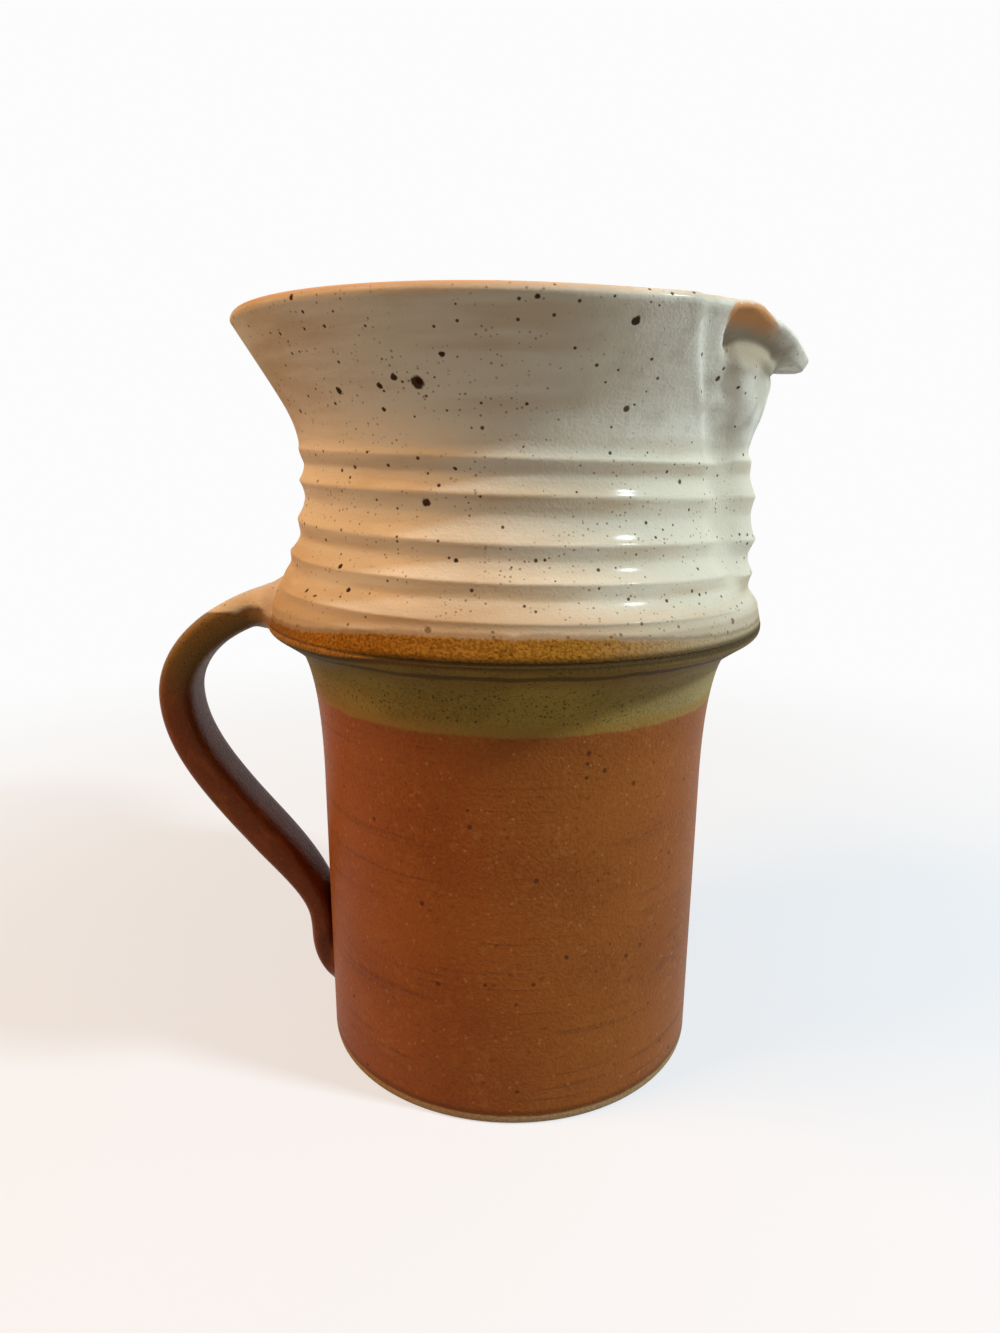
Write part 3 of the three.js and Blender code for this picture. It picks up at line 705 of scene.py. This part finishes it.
TAIL_THICKNESS = 0.008
TAIL_REACH = 0.0025
TAIL_TAPER = 0.35  # share of the width that the tip of the tail loses
TIP_REACH = 0.002
TIP_DEPTH = 0.003  # the tail ends this deep in the wall
ROOT_END = 0.02, 0.2  # shares of the strap's length where the root thins out to the strap,
TAIL_START = 0.66, 0.86  # the strap to the tail
TIP_START = 0.86, 1  # and the tail to its tip
WHITE_END = 0.11, 0.2  # shares where the white gives way to the olive
OLIVE_END = 0.37, 0.24  # and the olive to the rust
ROOT_SMEAR = 0.023  # the sides of the root are smeared out this far along the band,
ROOT_FILLET = 0.0065  # in a thin fillet, and its top and underside in a round one,
UNDER_FILLET = 1.6  # which is this much larger underneath
TAIL_FILLET = 0.0025
LENS_THINNING = 0.6  # a smeared end is a lens: share of the thickness that its tips lose,
LENS_ARCH = 1.3  # and the curves of its back
LENS_SIDES = 0.9  # and its sides
SINK = 0.0005  # the thin edges of both ends run into the wall by this much,
SINK_POWER = 12  # and only right at the edge
STRAP_SIDES = 40
STRAP_CUTS = 190
STRAP_START = 0.012  # the line's first stretch, deep in the shoulder, is left out
ROOT_CROWDING = 1.5  # draws the cuts together at the root

root_height = ledge_top - ROOT_DROP
knee_height = lerp(TAIL_HEIGHT, BELLY_HEIGHT, KNEE_RISE)


def off_wall(reach, height):
    """A point this far off the straight wall, on the handle's side."""
    return at(-BODY_RADIUS - reach, height)


def down_tail(share):
    return TAIL_HEIGHT - share * TAIL_LENGTH


belly = off_wall(HANDLE_REACH, BELLY_HEIGHT)
knee = off_wall(KNEE_REACH, knee_height)
landing = off_wall(LANDING_REACH, TAIL_HEIGHT)
tail_middle = off_wall(TAIL_REACH, down_tail(0.66))
strap_line = interpolate_bezier(
    at(-SHOULDER_RADIUS + ROOT_DEPTH, root_height),
    at(-SHOULDER_RADIUS - ROOT_REACH, root_height - ROOT_SAG),
    off_wall(HANDLE_REACH, lerp(BELLY_HEIGHT, root_height, 0.48)),
    belly,
    60,
)
strap_line += interpolate_bezier(
    belly,
    off_wall(HANDLE_REACH, lerp(knee_height, BELLY_HEIGHT, 0.66)),
    off_wall(KNEE_LEAD, lerp(knee_height, BELLY_HEIGHT, 0.36)),
    knee,
    40,
)[1:]
strap_line += [knee.lerp(landing, i / 10) for i in range(1, 10)]
strap_line += interpolate_bezier(
    landing,
    off_wall(LANDING_LEAD, down_tail(0.33)),
    off_wall(TAIL_REACH, down_tail(0.45)),
    tail_middle,
    30,
)
strap_line += interpolate_bezier(
    tail_middle,
    off_wall(TAIL_REACH, down_tail(0.78)),
    off_wall(TIP_REACH, down_tail(0.94)),
    off_wall(-TIP_DEPTH, down_tail(1.05)),
    20,
)[1:]
reached = [0.0]
for start, end in zip(strap_line, strap_line[1:]):
    reached.append(reached[-1] + (end - start).length)
pot_outline = body_outside + collar_outside


def on_strap(along):
    """The point of the strap's middle line at this share of its length, and the line's direction."""
    length = min(max(along, 0), 1) * reached[-1]
    after = max(1, next(i for i, far in enumerate(reached) if far >= length))
    start, end = strap_line[after - 1], strap_line[after]
    share = (length - reached[after - 1]) / (reached[after] - reached[after - 1])
    return start.lerp(end, share), (end - start).normalized()


def above_pot(point):
    """Distance of a point in the air from the pot's plain outside, and the way out from there."""
    flat = at(hypot(point.x, point.y), point.z)
    best = None
    for start, end in zip(pot_outline, pot_outline[1:]):
        share = intersect_point_line(flat, start, end)[1]
        away = flat - start.lerp(end, min(max(share, 0), 1))
        if best is None or away.length < best[0]:
            out = Vector((end.z - start.z, 0, start.x - end.x)).normalized()
            best = away.length, away.dot(out), out
    distance, side, out = best
    around = Vector((point.x, point.y, 0)).normalized()
    return distance if side > 0 else -distance, around * out.x + Vector((0, 0, out.z))


def strap_section(spread, outer, beside, thickness, width, fillet, smear):
    """How far up and aside a vertex lies on the strap's section. With a spread of 0 it is the plain
    strap, and towards 1 it is smeared out on the pot into a lens with thin tips."""
    softened = min(2 * spread, 1)
    half_thickness = 0.5 * thickness * (1 - LENS_THINNING * softened * abs(beside))
    half_thickness += fillet * spread * (1 if outer > 0 else UNDER_FILLET)
    half_width = 0.5 * width + smear * spread
    up = copysign(abs(outer) ** lerp(STRAP_ROUNDING, LENS_ARCH, softened), outer)
    aside = copysign(abs(beside) ** lerp(STRAP_ROUNDING, LENS_SIDES, softened), beside)
    return up * half_thickness, aside * half_width


strap_clay = bmesh.new()
bmesh.ops.create_cone(strap_clay, cap_ends=True, segments=STRAP_SIDES, radius1=1, radius2=1, depth=1)
lengthwise = [edge for edge in strap_clay.edges if abs(edge.verts[0].co.z - edge.verts[1].co.z) > 0.5]
bmesh.ops.subdivide_edges(strap_clay, edges=lengthwise, cuts=STRAP_CUTS, use_grid_fill=True)
along_mark = strap_clay.verts.layers.float.new("along")
upper_mark = strap_clay.verts.layers.float.new("upper")
joined_mark = strap_clay.verts.layers.float.new("joined")
across = Vector((0, 1, 0))
for vert in strap_clay.verts:
    along = lerp(STRAP_START, 1, (0.5 - vert.co.z) ** ROOT_CROWDING)
    outer, beside = vert.co.x, vert.co.y
    root = 1 - eased(along, *ROOT_END)
    tail = eased(along, *TAIL_START)
    thickness = STRAP_THICKNESS + (ROOT_THICKNESS - STRAP_THICKNESS) * root
    thickness += (TAIL_THICKNESS - STRAP_THICKNESS) * tail
    width = STRAP_WIDTH + (ROOT_WIDTH - STRAP_WIDTH) * root
    width -= TAIL_TAPER * STRAP_WIDTH * eased(along, *TIP_START)
    fillet, smear = (ROOT_FILLET, ROOT_SMEAR) if along < 0.5 else (TAIL_FILLET, TAIL_FILLET)
    shape = outer, beside, thickness, width, fillet, smear
    middle, onward = on_strap(along)
    outward = across.cross(onward)
    up, aside = strap_section(0, *shape)
    point = middle + outward * up + across * aside
    gap = above_pot(point)[0]
    if gap < fillet:
        inward = 1 - max(gap, 0) / fillet
        up, aside = strap_section(1 - sqrt(1 - inward * inward), *shape)
        point = middle + outward * up + across * aside
        lifted, out = above_pot(point)
        point += out * (max(gap, 0) - SINK * inward**SINK_POWER - lifted)
        vert[joined_mark] = inward
    vert.co = point
    vert[along_mark] = along
    vert[upper_mark] = outer
bmesh.ops.recalc_face_normals(strap_clay, faces=strap_clay.faces)

handle_glaze, handle_shader, place = new_glaze("handle_glaze", specular=0.12)
along = place.mark("along")
upper = place.mark("upper")
joined = place.mark("joined")
rust_colour, grain, _ = rust_glaze(place)
wander = place.waver(0.006, 0.05)
# Painted shade: the strap is painted darker, most on its underside.
dark_and_shade = 0.78 - upper.rise(-0.3, 0.9) * 0.35
colour = dark_and_shade.over(rust_colour, paint("5a260d"))
strands = place.node("CombineXYZ", {}, {"X": upper, "Y": along * 5}).cloud(0.35, 2).rise(0.5, 0.66)
colour = (strands * 0.3).over(colour, paint("9a5424"))
olive_end = (along + wander).rise(*OLIVE_END)
# Painted shade: the olive is darker on the strap's underside.
shaded_olive = (0.7 - upper.rise(0, 0.9) * 0.5).over(olive_glaze(place), paint("4a2f0f"))
colour = (olive_end * 0.8).over(colour, shaded_olive)
on_band = joined.rise(0.62, 0.9) * along.rise(0.5, 0.4)
colour = on_band.over(colour, band_ochre(place)[0])
sagged = place.part("Z") + HANDLE_SAG
smeared = joined.rise(0.4, 0.9)
pale = white_glaze(place, smeared * 0.3)[0]
pale = (smeared * sagged.rise(*TAN_ZONE) * 0.5).over(pale, TAN)
white_band = on_band * (1 - (sagged + place.waver(0.004, 0.0016)).rise(*OCHRE_LINE))
white_run = (upper + wander * 3 - along.rise(*WHITE_END) * 1.2).rise(0.02, 0.24).most(white_band)
colour = white_run.over(colour, pale)
roughness = 0.34 + grain * 0.1 + olive_end * 0.1
glaze_with(handle_shader, colour, roughness, grain * 0.5 + place.cloud(0.004, 2), 0.00012)

handle = fired(strap_clay, "handle_strap", handle_glaze)
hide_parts("handle")
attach(handle, "root")

# Handle slips: the thin films of slip under the strap's root and tail. They are fused in the firing,
# and only their edges could show.
for name in ("handle_top_slip", "handle_foot_slip"):
    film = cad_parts[name]
    film.data.materials.clear()
    film.data.materials.append(slip_material)

# Floor: a plain pale sheet that the pitcher stands on, fading into the background far away.
# It keeps the soft shadow round the foot.
FLOOR_RADIUS = 6.0
FLOOR_FADE = 0.16, 0.6  # from the middle out
FLOOR_LIFT = 0.59  # brightness of its own, so that it looks white

ground = bmesh.new()
bmesh.ops.create_circle(ground, cap_ends=True, segments=64, radius=FLOOR_RADIUS)
floor_paint, floor_shader, place = new_glaze("floor_paint", specular=0.1)
floor_shader.inputs["Base Color"].default_value = paint("9aa0a8")
floor_shader.inputs["Roughness"].default_value = 0.9
tree = floor_paint.node_tree


def in_picture(tree):
    """1 for the rays that the picture and its reflections see, 0 for those that only bring light."""
    path = tree.nodes.new("ShaderNodeLightPath").outputs
    return Glaze(path["Is Camera Ray"]) + Glaze(path["Is Glossy Ray"]) + Glaze(path["Is Transmission Ray"])


def plain_white(kind, tree):
    """A white background of strength 1."""
    white = tree.nodes.new("ShaderNode" + kind)
    white.inputs["Color"].default_value = paint("fcfcfc")
    return Glaze(white.outputs[0])


seen = in_picture(tree)
lift = seen * FLOOR_LIFT
tree.links.new(lift.socket, floor_shader.inputs["Emission Color"])
floor_shader.inputs["Emission Strength"].default_value = 1
far = place.node("VectorMath", {"operation": "LENGTH"}, {0: place}, "Value").rise(*FLOOR_FADE)
sheet = {0: far * seen, 1: Glaze(floor_shader.outputs[0]), 2: plain_white("Emission", tree)}
tree.links.new(seen.node("MixShader", {}, sheet).socket, tree.nodes["Material Output"].inputs["Surface"])
floor = fired(ground, "floor", floor_paint)

# Light: a small window of cool daylight on the right, a broad warm box on the left, and a dim surround
# that goes from warm on the left to cooler and brighter on the right.
WARM_SIDE = 1, 0.83, 0.64, 1
COOL_SIDE = 0.9, 1, 0.88, 1
WARM_STRENGTH = 0.17
COOL_STRENGTH = 0.32
LAMP_DISTANCE = 1.2
LAMP_AIM = Vector((0, 0, 0.13))

surround = bpy.data.worlds.new("surround")
bpy.context.scene.world = surround
surround.use_nodes = True
tree = surround.node_tree
sky = tree.nodes["Background"]
direction = Glaze(tree.nodes.new("ShaderNodeTexCoord").outputs["Generated"])
rightward = direction.part("X").rise(-0.3, 0.9)
strength = WARM_STRENGTH + rightward * (COOL_STRENGTH - WARM_STRENGTH)
tree.links.new(rightward.over(WARM_SIDE, COOL_SIDE).socket, sky.inputs["Color"])
tree.links.new(strength.socket, sky.inputs["Strength"])
seen = in_picture(tree)
sides = {0: seen, 1: Glaze(sky.outputs[0]), 2: plain_white("Background", tree)}
tree.links.new(seen.node("MixShader", {}, sides).socket, tree.nodes["World Output"].inputs["Surface"])


def softbox(name, azimuth, elevation, size, power, colour):
    """An area lamp that faces the pitcher. The azimuth is from the camera's side, to the right."""
    lamp = bpy.data.lights.new(name, "AREA")
    lamp.shape = "RECTANGLE"
    lamp.size, lamp.size_y = size
    lamp.energy = power
    lamp.color = colour
    a, e = radians(azimuth), radians(elevation)
    away = Vector((sin(a) * cos(e), -cos(a) * cos(e), sin(e)))
    box = bpy.data.objects.new(name, lamp)
    box.location = LAMP_AIM + away * LAMP_DISTANCE
    box.rotation_euler = away.to_track_quat("Z", "Y").to_euler()
    bpy.context.scene.collection.objects.link(box)


softbox("window_right", azimuth=66, elevation=41, size=(0.13, 0.1), power=10.6, colour=(0.87, 1.0, 1.07))
softbox("box_left", azimuth=-73, elevation=45, size=(0.5, 0.6), power=11.3, colour=(1.0, 0.5, 0.19))

# Camera: a wide lens close by, just above the height of the neck's top and looking slightly down.
FOCAL_PIXELS = 900
PICTURE_PIXELS = 1333  # height of the picture
SENSOR_HEIGHT = 36  # millimetres
CAMERA_PLACE = -0.01242, -0.28441, 0.18973
CAMERA_PAN = radians(-1.686)
CAMERA_TILT = radians(76.743)  # up from looking straight down
CAMERA_ROLL = radians(0.354)

lens = bpy.data.cameras.new("camera")
lens.lens = FOCAL_PIXELS / PICTURE_PIXELS * SENSOR_HEIGHT
lens.clip_start = 0.01
camera = bpy.data.objects.new("camera", lens)
turned = Matrix.Rotation(CAMERA_PAN, 4, "Z") @ Matrix.Rotation(CAMERA_TILT, 4, "X")
turned = turned @ Matrix.Rotation(CAMERA_ROLL, 4, "Z")
camera.matrix_world = Matrix.Translation(CAMERA_PLACE) @ turned
bpy.context.scene.collection.objects.link(camera)
bpy.context.scene.camera = camera
bpy.context.scene.view_settings.view_transform = "Standard"
